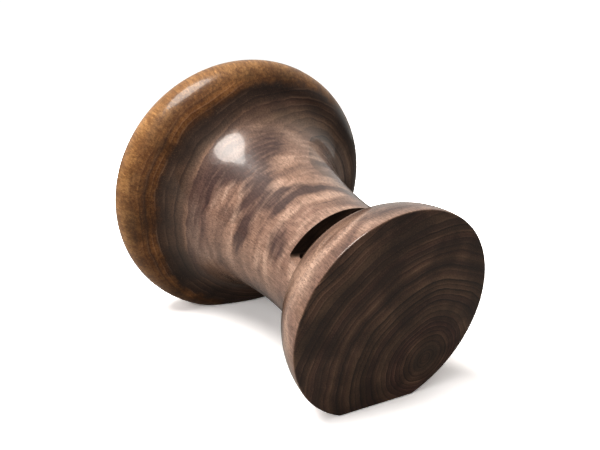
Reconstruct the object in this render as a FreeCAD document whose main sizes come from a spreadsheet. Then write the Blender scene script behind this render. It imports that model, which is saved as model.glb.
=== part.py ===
"""Turned walnut passive phone amplifier.

One block of walnut, turned about an axis that rises towards the bell and
planed flat underneath.  A phone stands in the slot behind the back disc, its
sound goes down the well into the throat bore and out through the horn.
Frame: +Z up, X from the back disc to the bell, origin at the bottom centre.
"""
import FreeCAD
import Part
import math
import os
import Sketcher
from FreeCAD import Placement, Rotation, Vector

doc = FreeCAD.newDocument("phone_amplifier")
sizes = doc.addObject("Spreadsheet::Sheet", "sizes")

# Driving dimensions, in millimetres and degrees.  A station is a distance
# along the turning axis from the back face, a radius is taken about that axis.
DIMENSIONS = [
    # stance of the turning axis above the table
    ("axis_rise", 10.66),
    ("back_centre_x", -80.73),
    ("back_centre_height", 44.73),
    ("flat_reach", 130.0),
    ("flat_depth", 60.0),
    # outer profile, from the back face to the bell's lip
    ("disc_radius", 50.0),
    ("disc_dome", 40.8),
    ("disc_edge_ease", 0.7),
    ("cove_curve", 4.0),
    ("neck_radius", 33.1),
    ("neck_station", 46.0),
    ("neck_curve", 196.4),
    ("shoulder_station", 110.6),
    ("shoulder_curve", 53.7),
    ("flare_station", 121.5),
    ("flare_curve", 23.5),
    ("bell_radius", 77.9),
    ("lip_curve", 14.7),
    # throat bore, phone slot and sound well
    ("bore_end_station", 40.0),
    ("slot_station", 37.55),
    ("slot_width", 9.6),
    ("slot_lean", 12.57),
    ("slot_floor_ease", 2.4),
    ("slot_reach", 40.0),
    ("ledge_height", 12.0),
    ("well_length", 52.0),
    ("well_depth", 20.0),
    ("well_corner", 2.0),
    # felt feet, set in shallow recesses
    ("foot_radius", 4.5),
    ("foot_thickness", 1.5),
    ("foot_proud", 0.3),
    ("foot_clearance", 0.15),
    ("back_foot_x", -66.5),
    ("back_foot_y", 9.0),
    ("front_foot_x", 76.0),
    ("front_foot_y", 16.0),
]
# Each foot's end of the body and the side it lies on, +Y being the left.
FEET = {
    "back_left_foot": ("back", 1),
    "back_right_foot": ("back", -1),
    "front_left_foot": ("front", 1),
    "front_right_foot": ("front", -1),
}

# A cut that removes less than this, in cubic millimetres, has missed the body.
LEAST_CUT = 10.0

for row, (name, value) in enumerate(DIMENSIONS, start=1):
    sizes.set(f"A{row}", name)
    sizes.set(f"B{row}", str(value))
    sizes.setAlias(f"B{row}", name)
doc.recompute()


def size(name):
    """The value of one driving dimension."""
    return float(sizes.get(name))


def cell(name):
    """The expression that reads one driving dimension."""
    return f"<<sizes>>.{name}"


def origin_plane(body, role):
    """One of the body's own origin planes, found by its role."""
    for feature in body.Origin.OriginFeatures:
        if feature.Role == role:
            return feature
    raise ValueError(role)


def new_body(label):
    body = doc.addObject("PartDesign::Body", label)
    body.Label = label
    return body


def new_sketch(body, name, role):
    """A sketch on one of the body's origin planes."""
    sketch = body.newObject("Sketcher::SketchObject", name)
    sketch.AttachmentSupport = (origin_plane(body, role), [""])
    sketch.MapMode = "FlatFace"
    return sketch


def bind(sketch, name, constraint, expression):
    """Add a named dimension to a sketch and bind it to the sheet."""
    index = sketch.addConstraint(constraint)
    sketch.renameConstraint(index, name)
    sketch.setExpression(f"Constraints.{name}", expression)


def line(start, end):
    return Part.LineSegment(Vector(*start, 0), Vector(*end, 0))


def arc(centre, start, end):
    """The arc about centre that runs anticlockwise from start to end."""
    first = math.atan2(start[1] - centre[1], start[0] - centre[0])
    last = math.atan2(end[1] - centre[1], end[0] - centre[0])
    circle = Part.Circle(Vector(*centre, 0), Vector(0, 0, 1), math.dist(centre, start))
    return Part.ArcOfCircle(circle, first, last if last > first else last + 2 * math.pi)


def towards(centre, target, distance):
    """The point at a distance from centre on the way to target."""
    share = distance / math.dist(centre, target)
    return tuple(c + (t - c) * share for c, t in zip(centre, target))


def on_arc(centre, radius, station):
    """The lower point of a circle at a station along the axis."""
    return (station, centre[1] - math.sqrt(radius**2 - (station - centre[0]) ** 2))


def meet(centre_a, radius_a, centre_b, radius_b):
    """Where two circles cross, on the left going from the first to the second."""
    apart = math.dist(centre_a, centre_b)
    along = (radius_a**2 - radius_b**2 + apart**2) / (2 * apart)
    aside = math.sqrt(radius_a**2 - along**2)
    ux = (centre_b[0] - centre_a[0]) / apart
    uy = (centre_b[1] - centre_a[1]) / apart
    return (centre_a[0] + along * ux + aside * uy, centre_a[1] + along * uy - aside * ux)


def outline_points():
    """Centres and joints of the profile's arcs, each tangent to the next."""
    dome = (0.0, size("disc_radius") - size("disc_dome"))
    neck = (size("neck_station"), size("neck_radius") + size("neck_curve"))
    cove_reach = size("disc_dome") + size("cove_curve")
    cove = meet(dome, cove_reach, neck, size("neck_curve") - size("cove_curve"))
    neck_end = on_arc(neck, size("neck_curve"), size("shoulder_station"))
    shoulder = towards(neck_end, neck, size("shoulder_curve"))
    shoulder_end = on_arc(shoulder, size("shoulder_curve"), size("flare_station"))
    flare = towards(shoulder_end, shoulder, size("flare_curve"))
    lip_height = size("bell_radius") - size("lip_curve")
    lip_reach = size("flare_curve") + size("lip_curve")
    lip_run = math.sqrt(lip_reach**2 - (lip_height - flare[1]) ** 2)
    lip = (flare[0] + lip_run, lip_height)
    horn_radius = size("flare_curve") + 2 * size("lip_curve")
    ease = size("disc_edge_ease")
    ease_reach = size("disc_dome") - ease
    ease_centre = (ease, dome[1] + math.sqrt(ease_reach**2 - ease**2))
    return {
        "ease": ease_centre,
        "dome": dome,
        "cove": cove,
        "neck": neck,
        "shoulder": shoulder,
        "flare": flare,
        "lip": lip,
        "back_edge": (0.0, ease_centre[1]),
        "dome_start": towards(dome, ease_centre, size("disc_dome")),
        "dome_end": towards(dome, cove, size("disc_dome")),
        "cove_end": towards(neck, cove, size("neck_curve")),
        "neck_end": neck_end,
        "shoulder_end": shoulder_end,
        "flare_end": towards(flare, lip, size("flare_curve")),
        "lip_end": towards(flare, lip, horn_radius),
        "throat": (flare[0], flare[1] - horn_radius),
    }


def draw_profile(body):
    """Half section of the turned body, drawn along the rising axis."""
    sketch = new_sketch(body, "turning_profile", "XZ_Plane")
    lift = Rotation(Vector(0, 0, 1), size("axis_rise"))
    place = Vector(size("back_centre_x"), size("back_centre_height"), 0)
    sketch.AttachmentOffset = Placement(place, lift)
    sketch.setExpression("AttachmentOffset.Base.x", cell("back_centre_x"))
    sketch.setExpression("AttachmentOffset.Base.y", cell("back_centre_height"))
    sketch.setExpression("AttachmentOffset.Rotation.Angle", cell("axis_rise"))

    p = outline_points()
    centre = (0.0, 0.0)
    bore_wall = (size("bore_end_station"), p["throat"][1])
    bore_axis = (size("bore_end_station"), 0.0)
    back = sketch.addGeometry(line(centre, p["back_edge"]))
    ease = sketch.addGeometry(arc(p["ease"], p["dome_start"], p["back_edge"]))
    dome = sketch.addGeometry(arc(p["dome"], p["dome_end"], p["dome_start"]))
    cove = sketch.addGeometry(arc(p["cove"], p["dome_end"], p["cove_end"]))
    neck = sketch.addGeometry(arc(p["neck"], p["cove_end"], p["neck_end"]))
    shoulder = sketch.addGeometry(arc(p["shoulder"], p["neck_end"], p["shoulder_end"]))
    flare = sketch.addGeometry(arc(p["flare"], p["shoulder_end"], p["flare_end"]))
    lip = sketch.addGeometry(arc(p["lip"], p["lip_end"], p["flare_end"]))
    horn = sketch.addGeometry(arc(p["flare"], p["throat"], p["lip_end"]))
    bore = sketch.addGeometry(line(p["throat"], bore_wall))
    bore_end = sketch.addGeometry(line(bore_wall, bore_axis))
    axis = sketch.addGeometry(line(bore_axis, centre))

    start, end, middle = 1, 2, 3
    origin = (-1, 1)
    corners = [
        (back, start, *origin),
        (bore, end, bore_end, start),
        (bore_end, end, axis, start),
        (axis, end, back, start),
        (horn, middle, flare, middle),
    ]
    tangents = [
        (back, end, ease, end),
        (ease, start, dome, end),
        (dome, start, cove, start),
        (cove, end, neck, start),
        (neck, end, shoulder, start),
        (shoulder, end, flare, start),
        (flare, end, lip, end),
        (lip, start, horn, end),
        (horn, start, bore, start),
    ]
    for pair in corners:
        sketch.addConstraint(Sketcher.Constraint("Coincident", *pair))
    for pair in tangents:
        sketch.addConstraint(Sketcher.Constraint("Tangent", *pair))
    for edge in (back, bore_end):
        sketch.addConstraint(Sketcher.Constraint("Vertical", edge))
    for edge in (bore, axis):
        sketch.addConstraint(Sketcher.Constraint("Horizontal", edge))
    sketch.addConstraint(Sketcher.Constraint("PointOnObject", dome, middle, -2))

    radii = [
        (ease, "disc_edge_ease"),
        (dome, "disc_dome"),
        (cove, "cove_curve"),
        (neck, "neck_curve"),
        (shoulder, "shoulder_curve"),
        (flare, "flare_curve"),
        (lip, "lip_curve"),
    ]
    for edge, name in radii:
        bind(sketch, name, Sketcher.Constraint("Radius", edge, size(name)), cell(name))
    stations = [
        (neck, middle, "neck_station"),
        (neck, end, "shoulder_station"),
        (shoulder, end, "flare_station"),
        (bore, end, "bore_end_station"),
    ]
    for edge, point, name in stations:
        limit = Sketcher.Constraint("DistanceX", *origin, edge, point, size(name))
        bind(sketch, name, limit, cell(name))
    heights = [
        (dome, middle, "dome_centre", p["dome"][1], f"{cell('disc_radius')} - {cell('disc_dome')}"),
        (neck, middle, "neck_centre", p["neck"][1], f"{cell('neck_radius')} + {cell('neck_curve')}"),
        (lip, middle, "lip_centre", p["lip"][1], f"{cell('bell_radius')} - {cell('lip_curve')}"),
    ]
    for edge, point, name, value, expression in heights:
        limit = Sketcher.Constraint("DistanceY", *origin, edge, point, value)
        bind(sketch, name, limit, expression)
    return sketch


def slot_floor():
    """Centre of the slot's floor, as expressions for its X and Z."""
    along = f"{cell('slot_station')} * cos({cell('axis_rise')})"
    down = f"{cell('ledge_height')} * sin({cell('axis_rise')})"
    rise = f"{cell('slot_station')} * sin({cell('axis_rise')})"
    lift = f"{cell('ledge_height')} * cos({cell('axis_rise')})"
    return (
        f"{cell('back_centre_x')} + {along} - {down}",
        f"{cell('back_centre_height')} + {rise} + {lift}",
    )


def draw_slot(body):
    """Section of the phone slot: a U with eased floor corners, open at the top."""
    sketch = new_sketch(body, "slot_section", "XZ_Plane")
    sketch.AttachmentOffset = Placement(Vector(), Rotation(Vector(0, 0, 1), size("slot_lean")))
    floor_x, floor_z = slot_floor()
    sketch.setExpression("AttachmentOffset.Base.x", floor_x)
    sketch.setExpression("AttachmentOffset.Base.y", floor_z)
    sketch.setExpression("AttachmentOffset.Rotation.Angle", cell("slot_lean"))

    half = size("slot_width") / 2
    ease = size("slot_floor_ease")
    top = size("slot_reach")
    left = sketch.addGeometry(line((-half, top), (-half, ease)))
    left_ease = sketch.addGeometry(arc((ease - half, ease), (-half, ease), (ease - half, 0.0)))
    floor = sketch.addGeometry(line((ease - half, 0.0), (half - ease, 0.0)))
    right_ease = sketch.addGeometry(arc((half - ease, ease), (half - ease, 0.0), (half, ease)))
    right = sketch.addGeometry(line((half, ease), (half, top)))
    lid = sketch.addGeometry(line((half, top), (-half, top)))

    start, end = 1, 2
    ring = [left, left_ease, floor, right_ease, right]
    for first, second in zip(ring, ring[1:]):
        sketch.addConstraint(Sketcher.Constraint("Tangent", first, end, second, start))
    sketch.addConstraint(Sketcher.Constraint("Coincident", right, end, lid, start))
    sketch.addConstraint(Sketcher.Constraint("Coincident", lid, end, left, start))
    for edge in (left, right):
        sketch.addConstraint(Sketcher.Constraint("Vertical", edge))
    sketch.addConstraint(Sketcher.Constraint("Horizontal", floor))
    sketch.addConstraint(Sketcher.Constraint("Symmetric", left, start, right, end, -2))
    sketch.addConstraint(Sketcher.Constraint("PointOnObject", floor, start, -1))
    sketch.addConstraint(Sketcher.Constraint("Equal", left_ease, right_ease))
    limits = [
        ("slot_floor_ease", Sketcher.Constraint("Radius", left_ease, ease)),
        ("slot_width", Sketcher.Constraint("DistanceX", lid, end, lid, start, 2 * half)),
        ("slot_reach", Sketcher.Constraint("DistanceY", -1, 1, lid, start, top)),
    ]
    for name, limit in limits:
        bind(sketch, name, limit, cell(name))
    return sketch


def draw_well(body):
    """Plan of the sound well in the slot's floor: a rectangle with eased corners."""
    sketch = new_sketch(body, "well_plan", "XY_Plane")
    sketch.AttachmentOffset = Placement(Vector(), Rotation(Vector(0, -1, 0), size("slot_lean")))
    floor_x, floor_z = slot_floor()
    sketch.setExpression("AttachmentOffset.Base.x", floor_x)
    sketch.setExpression("AttachmentOffset.Base.z", floor_z)
    sketch.setExpression("AttachmentOffset.Rotation.Angle", cell("slot_lean"))

    x = size("slot_width") / 2
    y = size("well_length") / 2
    e = size("well_corner")
    sides = [
        ((x - e, -y), (x, -y + e), (x - e, -y + e), (x, y - e)),
        ((x, y - e), (x - e, y), (x - e, y - e), (-x + e, y)),
        ((-x + e, y), (-x, y - e), (-x + e, y - e), (-x, -y + e)),
        ((-x, -y + e), (-x + e, -y), (-x + e, -y + e), (x - e, -y)),
    ]
    ring = []
    for start_point, end_point, centre, next_point in sides:
        ring.append(sketch.addGeometry(arc(centre, start_point, end_point)))
        ring.append(sketch.addGeometry(line(end_point, next_point)))
    start, end = 1, 2
    for first, second in zip(ring, ring[1:] + ring[:1]):
        sketch.addConstraint(Sketcher.Constraint("Tangent", first, end, second, start))
    for corner in ring[2::2]:
        sketch.addConstraint(Sketcher.Constraint("Equal", ring[0], corner))
    for side, direction in zip(ring[1::2], ("Vertical", "Horizontal") * 2):
        sketch.addConstraint(Sketcher.Constraint(direction, side))
    sketch.addConstraint(Sketcher.Constraint("Symmetric", ring[1], start, ring[5], start, -1, 1))
    limits = [
        ("well_corner", Sketcher.Constraint("Radius", ring[0], e)),
        ("slot_width", Sketcher.Constraint("DistanceX", ring[5], start, ring[1], start, 2 * x)),
        ("well_length", Sketcher.Constraint("DistanceY", ring[7], end, ring[3], start, 2 * y)),
    ]
    for name, limit in limits:
        bind(sketch, name, limit, cell(name))
    return sketch


def draw_flat(body):
    """Everything below the planed flat, as a rectangle in side view."""
    sketch = new_sketch(body, "flat_section", "XZ_Plane")
    reach = size("flat_reach")
    top = size("foot_proud")
    low = -size("flat_depth")
    corners = [(-reach, low), (reach, low), (reach, top), (-reach, top)]
    ring = [sketch.addGeometry(line(a, b)) for a, b in zip(corners, corners[1:] + corners[:1])]
    start, end = 1, 2
    for first, second in zip(ring, ring[1:] + ring[:1]):
        sketch.addConstraint(Sketcher.Constraint("Coincident", first, end, second, start))
    for side, direction in zip(ring, ("Horizontal", "Vertical") * 2):
        sketch.addConstraint(Sketcher.Constraint(direction, side))
    height = Sketcher.Constraint("DistanceY", -1, 1, ring[2], start, top)
    bind(sketch, "foot_proud", height, cell("foot_proud"))
    depth = Sketcher.Constraint("DistanceY", ring[0], start, -1, 1, -low)
    bind(sketch, "flat_depth", depth, cell("flat_depth"))
    ahead = Sketcher.Constraint("DistanceX", -1, 1, ring[0], end, reach)
    bind(sketch, "flat_reach", ahead, cell("flat_reach"))
    width = Sketcher.Constraint("DistanceX", ring[0], start, ring[0], end, 2 * reach)
    bind(sketch, "flat_width", width, f"2 * {cell('flat_reach')}")
    return sketch


def draw_recesses(body):
    """The four round recesses for the feet, on the planed flat."""
    sketch = new_sketch(body, "foot_recesses", "XY_Plane")
    sketch.AttachmentOffset = Placement(Vector(0, 0, size("foot_proud")), Rotation())
    sketch.setExpression("AttachmentOffset.Base.z", cell("foot_proud"))
    radius = size("foot_radius") + size("foot_clearance")
    for label, (end_name, side) in FEET.items():
        x = size(f"{end_name}_foot_x")
        y = side * size(f"{end_name}_foot_y")
        ring = sketch.addGeometry(Part.Circle(Vector(x, y, 0), Vector(0, 0, 1), radius))
        limit = Sketcher.Constraint("Radius", ring, radius)
        bind(sketch, f"{label}_r", limit, f"{cell('foot_radius')} + {cell('foot_clearance')}")
        limit = Sketcher.Constraint("DistanceX", -1, 1, ring, 3, x)
        bind(sketch, f"{label}_x", limit, cell(f"{end_name}_foot_x"))
        limit = Sketcher.Constraint("DistanceY", -1, 1, ring, 3, y)
        bind(sketch, f"{label}_y", limit, f"{side} * {cell(f'{end_name}_foot_y')}")
    return sketch


def new_pocket(body, sketch, name):
    pocket = body.newObject("PartDesign::Pocket", name)
    pocket.Profile = sketch
    return pocket


def check_cut(body, name, before):
    """Recompute, and stop if the cut has missed the body."""
    doc.recompute()
    removed = before - body.Shape.Volume
    print(f"{name}: {removed / 1000:.2f} cm3 removed")
    if removed < LEAST_CUT:
        raise RuntimeError(f"{name} cuts nothing")


def cut_through(body, sketch, name):
    """Pocket a sketch right through the body, both ways."""
    before = body.Shape.Volume
    pocket = new_pocket(body, sketch, name)
    pocket.Type = "ThroughAll"
    pocket.SideType = "Symmetric"
    check_cut(body, name, before)


def cut_down(body, sketch, name, direction, depth):
    """Pocket a sketch to a depth, towards a direction."""
    before = body.Shape.Volume
    pocket = new_pocket(body, sketch, name)
    pocket.Type = "Length"
    pocket.setExpression("Length", depth)
    normal = sketch.Placement.Rotation.multVec(Vector(0, 0, 1))
    pocket.Reversed = normal.dot(direction) > 0
    check_cut(body, name, before)


def make_horn():
    """The turned walnut body: disc, neck, bell, slot, well and throat in one block."""
    body = new_body("horn_body")
    profile = draw_profile(body)
    doc.recompute()
    turning = body.newObject("PartDesign::Revolution", "turning")
    turning.Profile = profile
    turning.ReferenceAxis = (profile, ["H_Axis"])
    turning.Angle = 360
    doc.recompute()
    print(f"turned blank: {body.Shape.Volume / 1000:.1f} cm3")
    cut_through(body, draw_flat(body), "planed_flat")
    cut_through(body, draw_slot(body), "phone_slot")
    cut_down(body, draw_well(body), "sound_well", Vector(0, 0, -1), cell("well_depth"))
    recess_depth = f"{cell('foot_thickness')} - {cell('foot_proud')}"
    cut_down(body, draw_recesses(body), "recesses", Vector(0, 0, 1), recess_depth)
    return body


def make_foot(label, end_name, side):
    """A felt disc that fills its recess and stands a little proud of the flat."""
    foot = doc.addObject("Part::Cylinder", label)
    foot.Label = label
    foot.setExpression("Radius", cell("foot_radius"))
    foot.setExpression("Height", cell("foot_thickness"))
    foot.setExpression("Placement.Base.x", cell(f"{end_name}_foot_x"))
    foot.setExpression("Placement.Base.y", f"{side} * {cell(f'{end_name}_foot_y')}")
    return foot


def check_document():
    """Stop if anything in the document failed to compute."""
    for feature in doc.Objects:
        if {"Invalid", "Error"} & set(feature.State):
            raise RuntimeError(f"{feature.Label} failed: {feature.State}")


def write_part(part):
    shape = part.Shape
    if shape.isNull() or not shape.isValid() or not shape.Solids:
        raise RuntimeError(f"{part.Label} has no valid solid")
    shape.exportStep(f"parts/{part.Label}.step")
    box = shape.BoundBox
    print(f"{part.Label}: {shape.Volume / 1000:.2f} cm3, {len(shape.Solids)} solid, {box}")


parts = [make_horn()]
for foot_label, (foot_end, foot_side) in FEET.items():
    parts.append(make_foot(foot_label, foot_end, foot_side))
doc.recompute()
check_document()
os.makedirs("parts", exist_ok=True)
for item in parts:
    write_part(item)
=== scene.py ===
from math import atan2, cos, dist, pi, radians, sin, sqrt
from types import SimpleNamespace

import bmesh
import bpy
from mathutils import Matrix, Quaternion, Vector


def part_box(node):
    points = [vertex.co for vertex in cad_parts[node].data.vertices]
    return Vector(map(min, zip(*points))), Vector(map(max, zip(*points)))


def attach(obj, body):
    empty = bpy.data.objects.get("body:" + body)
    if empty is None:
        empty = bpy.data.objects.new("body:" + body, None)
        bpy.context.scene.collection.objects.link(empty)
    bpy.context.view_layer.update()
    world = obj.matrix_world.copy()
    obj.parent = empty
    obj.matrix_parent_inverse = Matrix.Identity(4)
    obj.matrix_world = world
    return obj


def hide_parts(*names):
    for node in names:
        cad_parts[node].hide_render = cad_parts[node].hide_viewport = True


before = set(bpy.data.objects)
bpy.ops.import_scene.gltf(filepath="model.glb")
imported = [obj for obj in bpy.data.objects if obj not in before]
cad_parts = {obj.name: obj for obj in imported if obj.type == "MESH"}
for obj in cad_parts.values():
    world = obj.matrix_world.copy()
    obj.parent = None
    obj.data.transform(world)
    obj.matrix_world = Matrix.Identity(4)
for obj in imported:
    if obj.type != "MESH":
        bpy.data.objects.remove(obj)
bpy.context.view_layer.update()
scene = bpy.context.scene

# ---------------------------------------------------------------- the wood's own frame
# The horn was turned about an axis that rises towards its mouth. The wood is described
# along that axis, in millimetres, from the middle of the flat back face.
AXIS_RISE = radians(10.66)
BACK_CENTRE = Vector((-0.08073, 0.0, 0.04473))
ALONG = Vector((cos(AXIS_RISE), 0.0, sin(AXIS_RISE)))
ACROSS = Vector((0.0, 1.0, 0.0))
UPWARD = Vector((-sin(AXIS_RISE), 0.0, cos(AXIS_RISE)))

# The body's driving sizes, in millimetres. A station is a distance along the axis from
# the back face, and a curve or an ease is the radius of an arc.
DISC_RADIUS = 50.0
DISC_CURVE = 40.8
DISC_EDGE_EASE = 0.7
COVE_CURVE = 4.0
NECK_STATION = 46.0
NECK_RADIUS = 33.1
NECK_CURVE = 196.4
SHOULDER_STATION = 110.6
SHOULDER_CURVE = 53.7
FLARE_STATION = 121.5
FLARE_CURVE = 23.5
BELL_RADIUS = 77.9
LIP_CURVE = 14.7
BORE_END_STATION = 40.0
TURNS = 320

# The slot stands on a ledge above the axis and leans back. Its cutter reaches up out of
# the wood and spans all of it. The well goes down from the slot's floor.
SLOT_LEAN = radians(12.57)
SLOT_TILT = SLOT_LEAN - AXIS_RISE
SLOT_STATION = 37.55
SLOT_WIDTH = 9.6
SLOT_FLOOR_EASE = 2.4
SLOT_REACH = 40.0
SLOT_SPAN = 160.0
LEDGE_HEIGHT = 12.0
WELL_LENGTH = 52.0
WELL_DEPTH = 20.0
WELL_CORNER = 2.0

# The cutter for the flat underneath, and the recess for each felt foot, which stands
# proud of the flat.
FLAT_LENGTH = 260.0
FLAT_BREADTH = 180.0
FLAT_DEPTH = 60.0
FOOT_PROUD = 0.3
FOOT_CLEARANCE = 0.15
RECESS_REACH = 3.0
RECESS_SIDES = 64


def linear(r, g, b):
    """A colour given in display values from 0 to 255, as the renderer's linear colour."""
    def one(v):
        v = v / 255.0
        return v / 12.92 if v <= 0.04045 else ((v + 0.055) / 1.055) ** 2.4
    return (one(r), one(g), one(b), 1.0)


class Graph:
    """A material's node tree, with one short call for each kind of node used here."""

    def __init__(self, tree):
        tree.nodes.clear()
        self.tree = tree

    def node(self, kind, **settings):
        made = self.tree.nodes.new(kind)
        for name, value in settings.items():
            setattr(made, name, value)
        return made

    def feed(self, socket, value):
        if isinstance(value, bpy.types.NodeSocket):
            self.tree.links.new(value, socket)
        else:
            socket.default_value = value

    def feed_all(self, made, values):
        for socket, value in zip(made.inputs, values):
            self.feed(socket, value)
        return made

    def math(self, kind, *values):
        return self.feed_all(self.node("ShaderNodeMath", operation=kind), values).outputs[0]

    def plus(self, a, b):
        return self.math("ADD", a, b)

    def minus(self, a, b):
        return self.math("SUBTRACT", a, b)

    def times(self, a, b):
        return self.math("MULTIPLY", a, b)

    def over(self, a, b):
        return self.math("DIVIDE", a, b)

    def swing(self, value, amount):
        """A noise value as a swing to either side of zero."""
        return self.times(self.minus(value, 0.5), amount)

    def vector(self, kind, *values):
        made = self.feed_all(self.node("ShaderNodeVectorMath", operation=kind), values)
        return made.outputs["Value"] if kind in ("DOT_PRODUCT", "LENGTH") else made.outputs[0]

    def combine(self, x, y, z):
        return self.feed_all(self.node("ShaderNodeCombineXYZ"), (x, y, z)).outputs[0]

    def noise(self, vector, scale=1.0, detail=2.0, roughness=0.5, colour=False):
        made = self.node("ShaderNodeTexNoise")
        self.feed(made.inputs["Vector"], vector)
        made.inputs["Scale"].default_value = scale
        made.inputs["Detail"].default_value = detail
        made.inputs["Roughness"].default_value = roughness
        return made.outputs["Color" if colour else "Fac"]

    def push(self, vector, detail):
        """A noise in three directions, to either side of zero, for bending a place."""
        return self.vector("SUBTRACT", self.noise(vector, detail=detail, colour=True), (0.5, 0.5, 0.5))

    def remap(self, value, low, high, to_low=0.0, to_high=1.0):
        made = self.node("ShaderNodeMapRange", interpolation_type="SMOOTHSTEP")
        for name, v in (("Value", value), ("From Min", low), ("From Max", high),
                        ("To Min", to_low), ("To Max", to_high)):
            self.feed(made.inputs[name], v)
        return made.outputs[0]

    def blend(self, factor, a, b, kind="MIX"):
        made = self.node("ShaderNodeMix", data_type="RGBA", blend_type=kind)
        self.feed(made.inputs["Factor"], factor)
        self.feed(made.inputs[6], a)
        self.feed(made.inputs[7], b)
        return made.outputs[2]

    def by_camera(self, seen, elsewhere):
        """One shader where the camera looks straight at it, and another for all other rays."""
        mix = self.node("ShaderNodeMixShader")
        self.feed(mix.inputs[0], self.node("ShaderNodeLightPath").outputs["Is Camera Ray"])
        self.feed(mix.inputs[1], elsewhere.outputs[0])
        self.feed(mix.inputs[2], seen.outputs[0])
        return mix.outputs[0]


def new_graph(name):
    made = bpy.data.materials.new(name)
    made.use_nodes = True
    return made, Graph(made.node_tree)


def new_material(name):
    made, graph = new_graph(name)
    shader = graph.node("ShaderNodeBsdfPrincipled")
    output = graph.node("ShaderNodeOutputMaterial")
    graph.feed(output.inputs["Surface"], shader.outputs[0])
    return made, graph, shader


def new_object(name, shape):
    """An object from a finished bmesh, which it frees."""
    mesh = bpy.data.meshes.new(name)
    shape.to_mesh(mesh)
    shape.free()
    made = bpy.data.objects.new(name, mesh)
    scene.collection.objects.link(made)
    return made


# ---------------------------------------------------------------- the turned body
# The same lines as the CAD solid, in millimetres, turned far more finely so that the
# polished surface reflects smoothly. Profile points are (station along the axis, radius).

def sweep(centre, radius, first, last, step):
    """Points of an arc about centre, from one angle to another, about step apart."""
    count = max(3, round(abs(last - first) * radius / step))
    angles = [first + (last - first) * i / count for i in range(count + 1)]
    return [(centre[0] + radius * cos(a), centre[1] + radius * sin(a)) for a in angles]


def bearing(centre, point):
    return atan2(point[1] - centre[1], point[0] - centre[0])


def pull(centre, target, distance):
    """The point at a distance from centre on the way to target."""
    share = distance / dist(centre, target)
    return tuple(c + (t - c) * share for c, t in zip(centre, target))


def below(centre, radius, station):
    """The point of an arc that is nearer the axis than its centre, at a station."""
    return (station, centre[1] - sqrt(radius**2 - (station - centre[0]) ** 2))


def cove_centre(dome, neck):
    """The centre of the cove's arc, which touches the dome's and the neck's."""
    apart = dist(dome, neck)
    reach = DISC_CURVE + COVE_CURVE
    back = NECK_CURVE - COVE_CURVE
    along = (reach**2 - back**2 + apart**2) / (2 * apart)
    aside = sqrt(reach**2 - along**2)
    ux, uy = (neck[0] - dome[0]) / apart, (neck[1] - dome[1]) / apart
    return (dome[0] + along * ux + aside * uy, dome[1] + along * uy - aside * ux)


def turned_profile():
    """From the middle of the back face, round the outside and the lip, to the bore's end."""
    dome = (0.0, DISC_RADIUS - DISC_CURVE)
    neck = (NECK_STATION, NECK_RADIUS + NECK_CURVE)
    ease = (DISC_EDGE_EASE, dome[1] + sqrt((DISC_CURVE - DISC_EDGE_EASE) ** 2 - DISC_EDGE_EASE**2))
    cove = cove_centre(dome, neck)
    neck_end = below(neck, NECK_CURVE, SHOULDER_STATION)
    shoulder = pull(neck_end, neck, SHOULDER_CURVE)
    shoulder_end = below(shoulder, SHOULDER_CURVE, FLARE_STATION)
    flare = pull(shoulder_end, shoulder, FLARE_CURVE)
    lip_height = BELL_RADIUS - LIP_CURVE
    lip = (flare[0] + sqrt((FLARE_CURVE + LIP_CURVE) ** 2 - (lip_height - flare[1]) ** 2), lip_height)
    horn_curve = FLARE_CURVE + 2 * LIP_CURVE
    bore_radius = flare[1] - horn_curve
    rim_turn = bearing(flare, lip)

    points = [(0.0, radius) for radius in (0.0, 12.0, 24.0, 36.0, 46.0)]
    points += sweep(ease, DISC_EDGE_EASE, pi, bearing(dome, ease), 0.12)
    for centre, radius, first, last, step in (
            (dome, DISC_CURVE, bearing(dome, ease), bearing(dome, cove), 0.9),
            (cove, COVE_CURVE, bearing(cove, dome), bearing(neck, cove), 0.35),
            (neck, NECK_CURVE, bearing(neck, cove), bearing(neck, neck_end), 1.4),
            (shoulder, SHOULDER_CURVE, bearing(neck, neck_end), bearing(shoulder, shoulder_end), 0.9),
            (flare, FLARE_CURVE, bearing(shoulder, shoulder_end), rim_turn, 0.7),
            (lip, LIP_CURVE, rim_turn + pi, rim_turn, 0.6),
            (flare, horn_curve, rim_turn, -pi / 2, 1.1)):
        points += sweep(centre, radius, first, last, step)[1:]
    points += [(station, bore_radius) for station in (95.0, 80.0, 65.0, 52.0, BORE_END_STATION)]
    return points + [(BORE_END_STATION, 8.0), (BORE_END_STATION, 0.0)]


def to_row(along, across, upward):
    """A point in the wood's frame, in millimetres, as a place in the row frame in metres."""
    return BACK_CENTRE + (ALONG * along + ACROSS * across + UPWARD * upward) / 1000.0


def lathe(profile, turns):
    """A shape turned from a profile whose first and last points lie on the axis."""
    shape = bmesh.new()
    first = shape.verts.new(to_row(profile[0][0], 0.0, 0.0))
    last = shape.verts.new(to_row(profile[-1][0], 0.0, 0.0))
    angles = [2 * pi * i / turns for i in range(turns)]
    rings = []
    for station, radius in profile[1:-1]:
        places = [to_row(station, radius * cos(a), radius * sin(a)) for a in angles]
        rings.append([shape.verts.new(place) for place in places])
    for i in range(turns):
        j = (i + 1) % turns
        shape.faces.new((first, rings[0][i], rings[0][j]))
        shape.faces.new((last, rings[-1][j], rings[-1][i]))
        for near, far in zip(rings, rings[1:]):
            shape.faces.new((near[i], far[i], far[j], near[j]))
    bmesh.ops.recalc_face_normals(shape, faces=shape.faces)
    return shape


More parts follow.
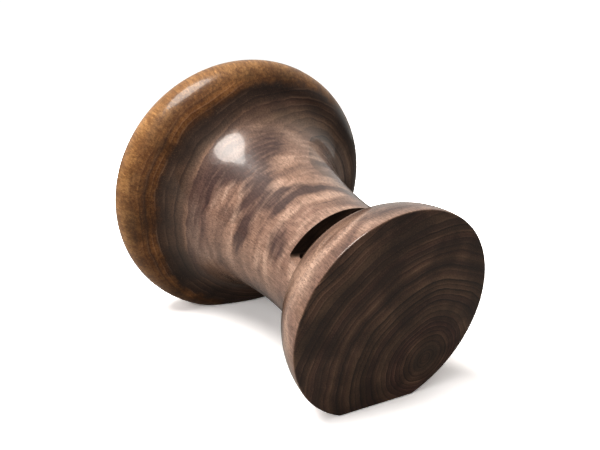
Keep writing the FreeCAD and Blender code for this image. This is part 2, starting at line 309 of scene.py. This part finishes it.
def prism(name, outline, lift, place):
    """A cutter: an outline pushed along a vector, with place() giving each point in metres."""
    shape = bmesh.new()
    low = [shape.verts.new(place(u, v, 0.0)) for u, v in outline]
    high = [shape.verts.new(place(u, v, lift)) for u, v in outline]
    shape.faces.new(low)
    shape.faces.new(high[::-1])
    for i in range(len(low)):
        j = (i + 1) % len(low)
        shape.faces.new((low[i], high[i], high[j], low[j]))
    bmesh.ops.recalc_face_normals(shape, faces=shape.faces)
    return new_object(name, shape)


def corner(u, v, radius, first):
    """A quarter turn of an eased corner, from one angle."""
    angles = [first + pi / 2 * i / 8 for i in range(9)]
    return [(u + radius * cos(a), v + radius * sin(a)) for a in angles]


def in_slot(u, y, w):
    """A place in metres from (across the slot, along Y, up), from its floor's centre."""
    floor = to_row(SLOT_STATION, 0.0, LEDGE_HEIGHT)
    aside = Vector((cos(SLOT_LEAN), 0.0, sin(SLOT_LEAN)))
    rise = Vector((-sin(SLOT_LEAN), 0.0, cos(SLOT_LEAN)))
    return floor + (aside * u + ACROSS * y + rise * w) / 1000.0


def slot_cutter():
    half = SLOT_WIDTH / 2
    ease = SLOT_FLOOR_EASE
    section = [(half, SLOT_REACH), (-half, SLOT_REACH)]
    section += corner(ease - half, ease, ease, pi)
    section += corner(half - ease, ease, ease, 1.5 * pi)
    return prism("slot_cut", section, SLOT_SPAN, lambda u, v, w: in_slot(u, w - SLOT_SPAN / 2, v))


def well_cutter():
    """The well, from its floor to 1 mm above the slot's."""
    u = SLOT_WIDTH / 2 - WELL_CORNER
    v = WELL_LENGTH / 2 - WELL_CORNER
    plan = []
    for i, (at_u, at_v) in enumerate(((u, v), (-u, v), (-u, -v), (u, -v))):
        plan += corner(at_u, at_v, WELL_CORNER, i * pi / 2)
    return prism("well_cut", plan, WELL_DEPTH + 1.0, lambda u, v, w: in_slot(u, v, w - WELL_DEPTH))


def level(height):
    """A place in metres from millimetres in the row frame, counted up from a height."""
    return lambda u, v, w: Vector((u, v, height + w)) / 1000.0


def flat_cutter():
    half_u, half_v = FLAT_LENGTH / 2, FLAT_BREADTH / 2
    outline = [(-half_u, -half_v), (half_u, -half_v), (half_u, half_v), (-half_u, half_v)]
    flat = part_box("back_left_foot")[0].z * 1000.0 + FOOT_PROUD
    return prism("flat_cut", outline, FLAT_DEPTH, level(flat - FLAT_DEPTH))


def recess_cutter(foot):
    low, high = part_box(foot)
    middle = (low + high) * 500.0
    radius = (high.x - low.x) * 500.0 + FOOT_CLEARANCE
    angles = [2 * pi * i / RECESS_SIDES for i in range(RECESS_SIDES)]
    ring = [(middle.x + radius * cos(a), middle.y + radius * sin(a)) for a in angles]
    return prism(foot + "_cut", ring, RECESS_REACH, level(high.z * 1000.0 - RECESS_REACH))


def make_body():
    """The turned block with its cuts, in place of the CAD node's faceted surface."""
    body = new_object("turned_walnut", lathe(turned_profile(), TURNS))
    tools = [slot_cutter(), well_cutter(), flat_cutter()]
    tools += [recess_cutter(name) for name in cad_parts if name.endswith("foot")]
    for tool in tools:
        cut = body.modifiers.new(tool.name, "BOOLEAN")
        cut.operation = "DIFFERENCE"
        cut.solver = "EXACT"
        cut.object = tool
    bpy.context.view_layer.update()
    done = bpy.data.meshes.new_from_object(body.evaluated_get(bpy.context.evaluated_depsgraph_get()))
    body.modifiers.clear()
    body.data = done
    done.name = "turned_walnut"
    for tool in tools:
        bpy.data.objects.remove(tool)
    done.shade_smooth()
    done.set_sharp_from_angle(angle=radians(32.0))
    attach(body, "root")
    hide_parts("horn_body")
    return body


# ---------------------------------------------------------------- walnut

HEART_DARK = linear(102, 74, 66)
HEART_LIGHT = linear(141, 110, 93)
HEART_END_DARK = linear(92, 66, 62)
HEART_END_LIGHT = linear(128, 116, 90)
OLIVE_YEAR = linear(98, 80, 62)
LATE_WOOD = linear(56, 36, 31)
PALE_EARLY_WOOD = linear(176, 138, 112)
CURL_BRIGHT = linear(192, 160, 140)
CURL_DARK = linear(54, 37, 36)
SAP_DARK = linear(118, 80, 45)
SAP_LIGHT = linear(162, 119, 73)
SAP_LATE = linear(92, 60, 36)
SAP_BORDER = linear(54, 36, 26)
PORE = linear(40, 26, 21)
FACE_LATE = linear(16, 11, 9)
FACE_EARLY = linear(122, 96, 74)
FACE_ZONE = linear(24, 18, 15)
FACE_FLECK = linear(134, 108, 82)
# Painted shade: the colour of the slot's walls, near black.
SLOT_PAINTED_SHADE = linear(8, 6, 5)
# These aren't the wood's colours but what is laid over them: greys for the fibres, what oiled end
# grain multiplies them by, and what the back face is multiplied lighter by, as painted light.
FIBRE_DARK = (0.28, 0.27, 0.26, 1.0)
FIBRE_LIGHT = (0.68, 0.68, 0.68, 1.0)
OILED_DARK = (0.155, 0.129, 0.114, 1.0)
OILED_LIGHT = (0.380, 0.306, 0.246, 1.0)
BACK_FACE_PAINTED_LIGHT = (1.95, 2.05, 2.35, 1.0)
# The radius in metres to which sharp edges are shaded round.
EASED_EDGE = 0.0005

# Dark waves of the curly figure on the neck and disc: the middle of each in the wood's
# frame, its half width along the grain, its half length round the neck, and its strength.
# They follow the figure of the photographed piece.
DARK_WAVES = [
    ((98.0, 23.0, 33.0), 12.0, 12.0, 0.66),
    ((115.0, 8.0, 44.0), 10.0, 16.0, 0.75),
    ((77.0, 25.0, 24.5), 6.0, 8.0, 0.80),
    ((51.0, 31.5, 10.0), 4.5, 7.0, 0.80),
    ((116.0, 46.0, -4.0), 6.0, 14.0, 0.35),
    ((74.0, 20.5, 28.5), 4.6, 7.0, 1.0),
    ((70.0, 12.5, 32.0), 4.2, 8.0, 1.0),
    ((65.5, 4.5, 33.5), 3.4, 7.0, 0.85),
    ((79.0, 33.0, 10.0), 4.8, 9.0, 1.0),
    ((92.0, 23.0, 30.5), 6.5, 8.5, 0.90),
    ((86.0, 29.5, 23.5), 5.0, 8.5, 0.90),
    ((57.0, 29.5, 14.0), 5.0, 8.5, 0.90),
    ((83.0, 37.0, 2.0), 3.0, 10.0, 0.75),
    ((107.0, 34.0, 24.0), 7.0, 13.0, 0.75),
    ((115.0, 42.0, 14.0), 8.0, 20.0, 0.60),
    ((104.0, 14.0, 40.0), 6.0, 13.0, 0.65),
    ((66.5, 23.5, 25.0), 3.2, 6.5, 0.80),
    ((53.0, 8.0, 32.0), 1.0, 9.0, 0.60),
    ((9.0, 9.0, 48.0), 10.0, 16.0, 0.85),
    ((19.0, 34.0, 29.0), 2.0, 12.0, 0.55),
    ((70.0, -22.0, -27.0), 5.5, 18.0, 0.80),
    ((86.0, -34.0, 14.0), 5.0, 14.0, 0.30),
    ((62.0, -30.0, 12.0), 4.0, 12.0, 0.60),
    ((12.0, -40.0, 22.0), 5.0, 14.0, 0.60),
]

# Bright glints beside them.
BRIGHT_WAVES = [
    ((100.0, 33.0, 21.0), 1.6, 7.0, 1.0),
    ((95.0, 20.0, 34.0), 1.4, 5.0, 1.0),
    ((82.0, 20.0, 30.5), 2.6, 6.0, 0.9),
    ((88.0, 35.0, 14.0), 2.6, 8.0, 0.9),
    ((58.5, 21.0, 26.0), 2.6, 9.0, 0.6),
    ((58.0, 2.0, 34.0), 3.5, 9.0, 0.8),
    ((95.0, 5.0, 40.0), 4.0, 9.0, 0.25),
    ((47.0, 24.0, 23.0), 3.5, 14.0, 0.6),
    ((64.0, 33.0, 2.0), 3.5, 9.0, 0.7),
    ((12.0, 43.0, 18.0), 9.0, 15.0, 0.8),
]

# Where the flare's flank is painted pale, as painted light: the end grain's darkening is held back there.
FLANK_PAINTED_LIGHT = [
    ((127.0, -53.0, 14.0), 8.0, 15.0, 1.0),
    ((120.0, -42.0, 24.0), 7.0, 9.0, 0.9),
]


def wood_place(g):
    """(along, across, upward) of the shaded point in the wood's frame, in millimetres."""
    place = g.node("ShaderNodeTexCoord").outputs["Object"]
    from_back = g.vector("SUBTRACT", place, tuple(BACK_CENTRE))
    directions = (ALONG, ACROSS, UPWARD)
    return [g.vector("DOT_PRODUCT", from_back, tuple(way * 1000.0)) for way in directions]


def stretched(g, place, along, across, shift=0.0):
    """The place divided by one length along the grain and another across it."""
    x, y, z = place
    return g.combine(g.math("MULTIPLY_ADD", x, 1.0 / along, shift),
                     g.math("MULTIPLY_ADD", y, 1.0 / across, shift),
                     g.math("MULTIPLY_ADD", z, 1.0 / across, -shift))


def banded(g, place, along, across):
    """The place with a value of its own along the grain, divided by a length across it."""
    return g.combine(along, g.over(place[1], across), g.over(place[2], across))


def waves(g, spot, listed):
    """The sum of soft waves, each a smooth hump stretched round the neck."""
    total = 0.0
    for centre, along, around, strength in listed:
        away = g.vector("DIVIDE", g.vector("SUBTRACT", spot, centre), (along, around, around))
        hump = g.math("EXPONENT", g.times(g.vector("DOT_PRODUCT", away, away), -1.0))
        total = g.plus(total, g.times(hump, strength))
    return total


def growth_rings(g, place):
    """Rings are surfaces at one distance from the pith, which drifts across the piece."""
    x, y, z = place
    slow = g.push(stretched(g, place, 120.0, 60.0), 1.0)
    wave = g.push(stretched(g, place, 34.0, 17.0, 3.1), 1.5)
    hair = g.noise(stretched(g, place, 26.0, 2.6, 7.7), detail=3.0)
    pith_y = g.math("MULTIPLY_ADD", x, 0.0697, -22.7)
    pith_z = g.math("MULTIPLY_ADD", x, 0.1886, -25.5)
    bent = g.combine(0.0, g.minus(y, pith_y), g.minus(z, pith_z))
    bent = g.vector("ADD", bent, g.vector("MULTIPLY", slow, (0.0, 10.0, 10.0)))
    bent = g.vector("ADD", bent, g.vector("MULTIPLY", wave, (0.0, 3.4, 3.4)))
    reach = g.plus(g.vector("LENGTH", bent), g.swing(hair, 0.7))

    # Rings are closer together near the pith.
    young = g.minus(1.0, g.math("EXPONENT", g.over(reach, -14.0)))
    pace = g.noise(g.combine(g.over(reach, 17.0), 3.0, 1.0))
    count = g.plus(g.over(reach, 3.2), g.times(young, 4.0))
    count = g.plus(count, g.times(pace, 2.4))
    phase = g.math("FRACT", count)
    rise = g.plus(g.times(g.math("POWER", phase, 1.8), 0.45), g.remap(phase, 0.60, 0.90, 0.0, 0.45))
    late = g.times(rise, g.remap(phase, 0.92, 1.0, 1.0, 0.0))
    year = g.node("ShaderNodeTexWhiteNoise", noise_dimensions="1D")
    g.feed(year.inputs["W"], g.math("FLOOR", count))
    return SimpleNamespace(reach=reach, phase=phase, late=late, year=year.outputs["Value"])


def heartwood(g, place, rings, facing):
    """Tan to purple brown, with dark late wood and pale early wood, and the dark wood's share."""
    broad = g.combine(g.over(rings.reach, 11.0), 8.0, g.over(place[0], 160.0))
    tone = g.remap(g.noise(broad, detail=3.0), 0.36, 0.62)
    heart = g.blend(tone, HEART_DARK, HEART_LIGHT)
    end_tone = g.blend(tone, HEART_END_DARK, HEART_END_LIGHT)
    heart = g.blend(g.remap(facing, 0.3, 0.9, 0.0, 0.45), heart, end_tone)
    heart = g.blend(g.remap(rings.year, 0.5, 1.0, 0.0, 0.5), heart, OLIVE_YEAR)

    weight = g.remap(rings.year, 0.0, 1.0, 0.30, 1.0)
    drift = g.noise(stretched(g, place, 60.0, 30.0, 5.0))
    late_share = g.times(g.times(rings.late, weight), g.remap(drift, 0.3, 0.7, 0.55, 1.0))
    late_share = g.times(late_share, g.remap(facing, 0.10, 0.5, 0.35, 1.0))
    heart = g.blend(late_share, heart, LATE_WOOD)

    patches = g.noise(stretched(g, place, 40.0, 22.0, 51.0))
    pale = g.times(g.remap(rings.phase, 0.0, 0.38, 1.0, 0.0), g.remap(facing, 0.15, 0.55, 0.0, 0.62))
    pale = g.times(pale, g.remap(patches, 0.34, 0.58, 0.05, 1.0))
    pale = g.times(pale, g.remap(facing, 0.85, 0.97, 1.0, 0.45))
    pale = g.times(pale, g.remap(weight, 0.3, 1.0, 0.1, 1.0))
    return g.blend(pale, heart, PALE_EARLY_WOOD), late_share


def swayed(g, place):
    """The place, bent a few millimetres so that no wave has a straight edge."""
    sway = g.push(stretched(g, place, 16.0, 12.0, 21.0), 3.0)
    return g.vector("ADD", g.combine(*place), g.vector("MULTIPLY", sway, (8.0, 4.0, 4.0)))


def curly_figure(g, place, spot, facing, heart):
    """Dark and bright waves across the grain, in patches and at their places."""
    x = place[0]
    wander = g.swing(g.noise(stretched(g, place, 50.0, 26.0, 9.0)), 2.4)
    curl_x = g.plus(g.over(x, 7.5), wander)
    curl = g.noise(banded(g, place, curl_x, 30.0), detail=2.5)
    glint_x = g.plus(g.over(x, 2.6), wander)
    glint = g.noise(banded(g, place, glint_x, 9.0), detail=1.0)
    patch = g.remap(g.noise(stretched(g, place, 34.0, 30.0, 11.0), detail=1.0), 0.36, 0.58, 0.45, 1.0)
    patch = g.times(patch, g.remap(facing, 0.25, 0.75, 1.0, 0.15))
    wisp = g.noise(banded(g, place, g.over(x, 1.9), 13.0))

    dark_spots = g.times(g.remap(waves(g, spot, DARK_WAVES), 0.05, 0.95), g.remap(wisp, 0.3, 0.6, 0.65, 1.0))
    dark = g.times(g.remap(curl, 0.50, 0.64), g.times(patch, 0.6))
    dark = g.math("MINIMUM", g.plus(dark, dark_spots), 1.0)
    glow = g.times(g.remap(waves(g, spot, BRIGHT_WAVES), 0.15, 0.80), g.remap(wisp, 0.35, 0.6, 0.45, 1.0))
    bright = g.times(g.remap(curl, 0.50, 0.36), g.times(patch, 0.75))
    bright = g.plus(bright, g.times(g.remap(glint, 0.62, 0.76), g.times(patch, 0.3)))
    bright = g.math("MINIMUM", g.plus(bright, glow), 1.0)
    heart = g.blend(g.times(bright, 0.66), heart, CURL_BRIGHT)
    return g.blend(g.times(dark, 0.90), heart, CURL_DARK)


def sapwood(g, place, rings, heart):
    """A golden band outside the heartwood, with an uneven edge, and its share."""
    x, y, z = place
    ragged = g.swing(g.noise(stretched(g, place, 30.0, 11.0, 2.0), detail=4.0), 13.0)
    out = g.vector("LENGTH", g.combine(0.0, g.plus(y, 9.0), g.plus(z, 2.0)))
    limit = g.math("MULTIPLY_ADD", g.minus(132.0, x), 0.30, 71.0)
    beyond = g.minus(g.plus(out, ragged), limit)
    share = g.remap(beyond, -2.5, 2.5)
    blot = g.noise(stretched(g, place, 14.0, 9.0, 4.0), detail=5.0, roughness=0.6)
    line = g.noise(stretched(g, place, 10.0, 1.5, 14.0), detail=3.0)
    mixed = g.plus(g.times(blot, 0.55), g.times(line, 0.45))
    sap = g.blend(g.remap(mixed, 0.40, 0.62), SAP_DARK, SAP_LIGHT)
    sap = g.blend(g.times(rings.late, 0.30), sap, SAP_LATE)
    heart = g.blend(g.times(g.remap(beyond, -18.0, -1.0), 0.85), heart, SAP_BORDER)
    return g.blend(share, heart, sap), share


def oiled_end_grain_and_painted_face_light(g, place, rings, late_share, facing, end, wood):
    """End grain drinks more oil, so it is darker, most of all on the flat back face, which is then painted
    lighter again as painted light.
    """
    face = g.remap(facing, 0.75, 0.97)
    cloud = g.remap(g.noise(stretched(g, place, 60.0, 17.0, 33.0), detail=3.0), 0.32, 0.68)
    drunk = g.blend(1.0, wood, g.blend(cloud, OILED_DARK, OILED_LIGHT), "MULTIPLY")
    wood = g.blend(end, wood, drunk)
    wood = g.blend(g.times(g.times(late_share, face), 0.85), wood, FACE_LATE)
    early = g.times(g.remap(rings.phase, 0.02, 0.30, 1.0, 0.0), g.remap(cloud, 0.3, 1.0, 0.0, 0.20))
    wood = g.blend(g.times(early, face), wood, FACE_EARLY)
    zone = g.noise(g.combine(g.over(rings.reach, 9.0), 4.0, 2.0))
    wood = g.blend(g.times(g.remap(zone, 0.36, 0.64, 0.0, 0.7), face), wood, FACE_ZONE)
    # Painted light: the back face is multiplied lighter.
    wood = g.blend(face, wood, g.blend(1.0, wood, BACK_FACE_PAINTED_LIGHT, "MULTIPLY"))
    fleck = g.remap(g.noise(stretched(g, place, 2.0, 0.42, 17.0), detail=1.0), 0.62, 0.74)
    return g.blend(g.times(g.times(fleck, face), 0.30), wood, FACE_FLECK), face


def inside_slot(g, place):
    """1 on the slot's walls, which are painted near black as painted shade and lose their polish, and 0
    elsewhere.
    """
    flat_place = g.combine(place[0], 0.0, place[2])
    across = (cos(SLOT_TILT), sin(SLOT_TILT))
    upward = (-sin(SLOT_TILT), cos(SLOT_TILT))
    from_floor = []
    for along, rise in (across, upward):
        reached = g.vector("DOT_PRODUCT", flat_place, (along, 0.0, rise))
        from_floor.append(g.minus(reached, SLOT_STATION * along + LEDGE_HEIGHT * rise))
    aside = g.math("ABSOLUTE", from_floor[0])
    half = SLOT_WIDTH / 2
    return g.times(g.remap(aside, half - 0.10, half + 0.15, 1.0, 0.0), g.remap(from_floor[1], 0.4, 2.2))


def bump(g, height, strength, distance):
    made = g.node("ShaderNodeBump")
    made.inputs["Strength"].default_value = strength
    made.inputs["Distance"].default_value = distance
    g.feed(made.inputs["Height"], height)
    return made


def walnut():
    made, g, shader = new_material("walnut")
    place = wood_place(g)

    # How far the surface is cut across the grain, from 0 along it to 1 at an end face.
    normal = g.node("ShaderNodeTexCoord").outputs["Normal"]
    facing = g.math("ABSOLUTE", g.vector("DOT_PRODUCT", normal, tuple(ALONG)))
    spot = swayed(g, place)
    rings = growth_rings(g, place)
    heart, late_share = heartwood(g, place, rings, facing)
    heart = curly_figure(g, place, spot, facing, heart)
    wood, sap_share = sapwood(g, place, rings, heart)

    # Fibres and pores run along the grain, and show as dots on end grain.
    fibre = g.noise(stretched(g, place, 7.0, 0.7, 1.0), detail=4.0, roughness=0.65)
    streaks = g.blend(g.remap(fibre, 0.3, 0.7), FIBRE_DARK, FIBRE_LIGHT)
    wood = g.blend(0.8, wood, streaks, "OVERLAY")
    pores = g.remap(g.noise(stretched(g, place, 1.3, 0.30, 6.0)), 0.50, 0.72)
    wood = g.blend(g.times(pores, g.remap(sap_share, 0.0, 1.0, 0.60, 0.35)), wood, PORE)

    # Painted light: the flare's flank is kept pale by holding back the end grain's darkening.
    flank_painted_light = g.remap(waves(g, spot, FLANK_PAINTED_LIGHT), 0.0, 0.9, 1.0, 0.12)
    end = g.times(g.remap(facing, 0.15, 0.97), flank_painted_light)
    wood, face = oiled_end_grain_and_painted_face_light(g, place, rings, late_share, facing, end, wood)
    # The slot's walls are painted near black here, as painted shade.
    inside = inside_slot(g, place)
    g.feed(shader.inputs["Base Color"], g.blend(g.times(inside, 0.93), wood, SLOT_PAINTED_SHADE))

    smooth = g.plus(g.remap(fibre, 0.2, 0.8, 0.36, 0.48), g.times(end, 0.12))
    g.feed(shader.inputs["Roughness"], g.plus(smooth, g.times(pores, 0.15)))
    shader.inputs["Specular IOR Level"].default_value = 0.2
    polish = g.minus(1.0, g.times(face, 0.75))
    polish = g.minus(polish, g.times(sap_share, 0.50))
    polish = g.math("MAXIMUM", g.minus(polish, g.times(inside, 0.9)), 0.02)
    g.feed(shader.inputs["Coat Weight"], polish)
    shader.inputs["Coat Roughness"].default_value = 0.04
    shader.inputs["Coat IOR"].default_value = 1.45

    eased = g.node("ShaderNodeBevel", samples=6)
    eased.inputs["Radius"].default_value = EASED_EDGE
    grain = bump(g, g.minus(g.times(fibre, 0.4), pores), 0.15, 0.0001)
    g.feed(grain.inputs["Normal"], eased.outputs[0])
    g.feed(shader.inputs["Normal"], grain.outputs[0])
    g.feed(shader.inputs["Coat Normal"], grain.outputs[0])
    return made


# ---------------------------------------------------------------- foot felt

FELT_DARK = linear(26, 22, 20)
FELT_LIGHT = linear(62, 54, 48)
FELT_MOTTLE = linear(36, 30, 27)


def felt():
    made, g, shader = new_material("foot_felt")
    place = g.node("ShaderNodeTexCoord").outputs["Object"]
    fuzz = g.noise(place, scale=2600.0, detail=4.0)
    mottle = g.noise(place, scale=420.0)
    colour = g.blend(fuzz, FELT_DARK, FELT_LIGHT)
    g.feed(shader.inputs["Base Color"], g.blend(g.times(mottle, 0.5), colour, FELT_MOTTLE))
    g.feed(shader.inputs["Roughness"], g.remap(fuzz, 0.2, 0.8, 0.85, 1.0))
    shader.inputs["Sheen Weight"].default_value = 0.3
    shader.inputs["Specular IOR Level"].default_value = 0.15
    g.feed(shader.inputs["Normal"], bump(g, fuzz, 0.6, 0.0002).outputs[0])
    return made


def dress(piece, material):
    piece.data.materials.clear()
    piece.data.materials.append(material)


wood_material = walnut()
felt_material = felt()
for name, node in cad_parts.items():
    dress(node, felt_material if name.endswith("foot") else wood_material)
dress(make_body(), wood_material)


# ---------------------------------------------------------------- floor, light and camera

def make_floor():
    """A pale floor that the camera sees as white, painted a little darker close under the object as painted
    shadow.
    """
    shape = bmesh.new()
    bmesh.ops.create_grid(shape, x_segments=8, y_segments=8, size=30.0)
    floor = new_object("floor", shape)
    floor.location.z = -0.0001
    made, g = new_graph("pale_floor")
    place = g.node("ShaderNodeTexCoord").outputs["Object"]
    spread = g.vector("LENGTH", place)
    mottle = g.noise(place, scale=9.0, detail=3.0)
    bright = g.plus(g.remap(spread, 0.10, 0.60, 1.75, 4.0), g.times(mottle, 0.05))
    # Painted shadow: close under the object the floor is painted darker.
    bright = g.times(bright, g.remap(spread, 0.04, 0.10, 0.72, 1.0))
    seen = g.node("ShaderNodeBsdfDiffuse")
    g.feed(seen.inputs["Color"], g.combine(bright, bright, g.times(bright, 1.02)))
    bounced = g.node("ShaderNodeBsdfDiffuse")
    bounced.inputs["Color"].default_value = (0.22, 0.21, 0.20, 1.0)
    output = g.node("ShaderNodeOutputMaterial")
    g.feed(output.inputs["Surface"], g.by_camera(seen, bounced))
    floor.data.materials.append(made)


def make_world():
    """White where the camera looks straight at it, and a dimmer room in what it lights."""
    world = bpy.data.worlds.new("studio")
    scene.world = world
    world.use_nodes = True
    g = Graph(world.node_tree)
    seen = g.node("ShaderNodeBackground")
    seen.inputs["Color"].default_value = (1.0, 1.0, 1.0, 1.0)
    seen.inputs["Strength"].default_value = 1.05
    room = g.node("ShaderNodeBackground")
    direction = g.node("ShaderNodeTexCoord").outputs["Generated"]
    behind = g.remap(g.vector("DOT_PRODUCT", direction, (0.80, -0.60, 0.0)), -0.6, 0.9)
    g.feed(room.inputs["Color"], g.blend(behind, (0.24, 0.23, 0.22, 1.0), (0.98, 0.93, 0.87, 1.0)))
    room.inputs["Strength"].default_value = 0.6
    output = g.node("ShaderNodeOutputWorld")
    g.feed(output.inputs["Surface"], g.by_camera(seen, room))


def turned_to(place, aim):
    return (Vector(aim) - Vector(place)).to_track_quat("-Z", "Y")


def make_light(name, place, size, energy, colour, mirrored):
    """A round panel aimed at the object. mirrored says whether the polish shows it."""
    data = bpy.data.lights.new(name, "AREA")
    data.shape = "DISK"
    data.size = size
    data.energy = energy
    data.color = colour
    light = bpy.data.objects.new(name, data)
    scene.collection.objects.link(light)
    light.location = place
    light.rotation_euler = turned_to(place, (0.0, 0.0, 0.07)).to_euler()
    light.visible_glossy = mirrored


def make_camera():
    data = bpy.data.cameras.new("camera")
    data.sensor_width = 36.0
    data.lens = 36.23
    data.clip_start = 0.01
    data.clip_end = 100.0
    camera = bpy.data.objects.new("camera", data)
    scene.collection.objects.link(camera)
    place = Vector((-0.2591, 0.1602, 0.1453))
    roll = Quaternion((0.0, 0.0, 1.0), radians(2.36))
    turn = turned_to(place, (-0.0122, 0.0075, 0.0697)) @ roll
    camera.matrix_world = Matrix.Translation(place) @ turn.to_matrix().to_4x4()
    scene.camera = camera


make_floor()
make_world()
make_light("key_softbox", (-0.0255, 0.336, 0.7247), 0.44, 7.6, (1.0, 0.955, 0.90), True)
make_light("side_panel", (-0.32, 0.85, 0.38), 0.8, 8.0, (1.0, 0.965, 0.93), False)
make_light("fill_panel", (-0.40, -0.84, 0.22), 0.7, 1.6, (1.0, 0.98, 0.95), False)
make_camera()

scene.view_settings.view_transform = "Standard"
scene.view_settings.look = "None"
scene.view_settings.exposure = 0.0
scene.view_settings.gamma = 1.0
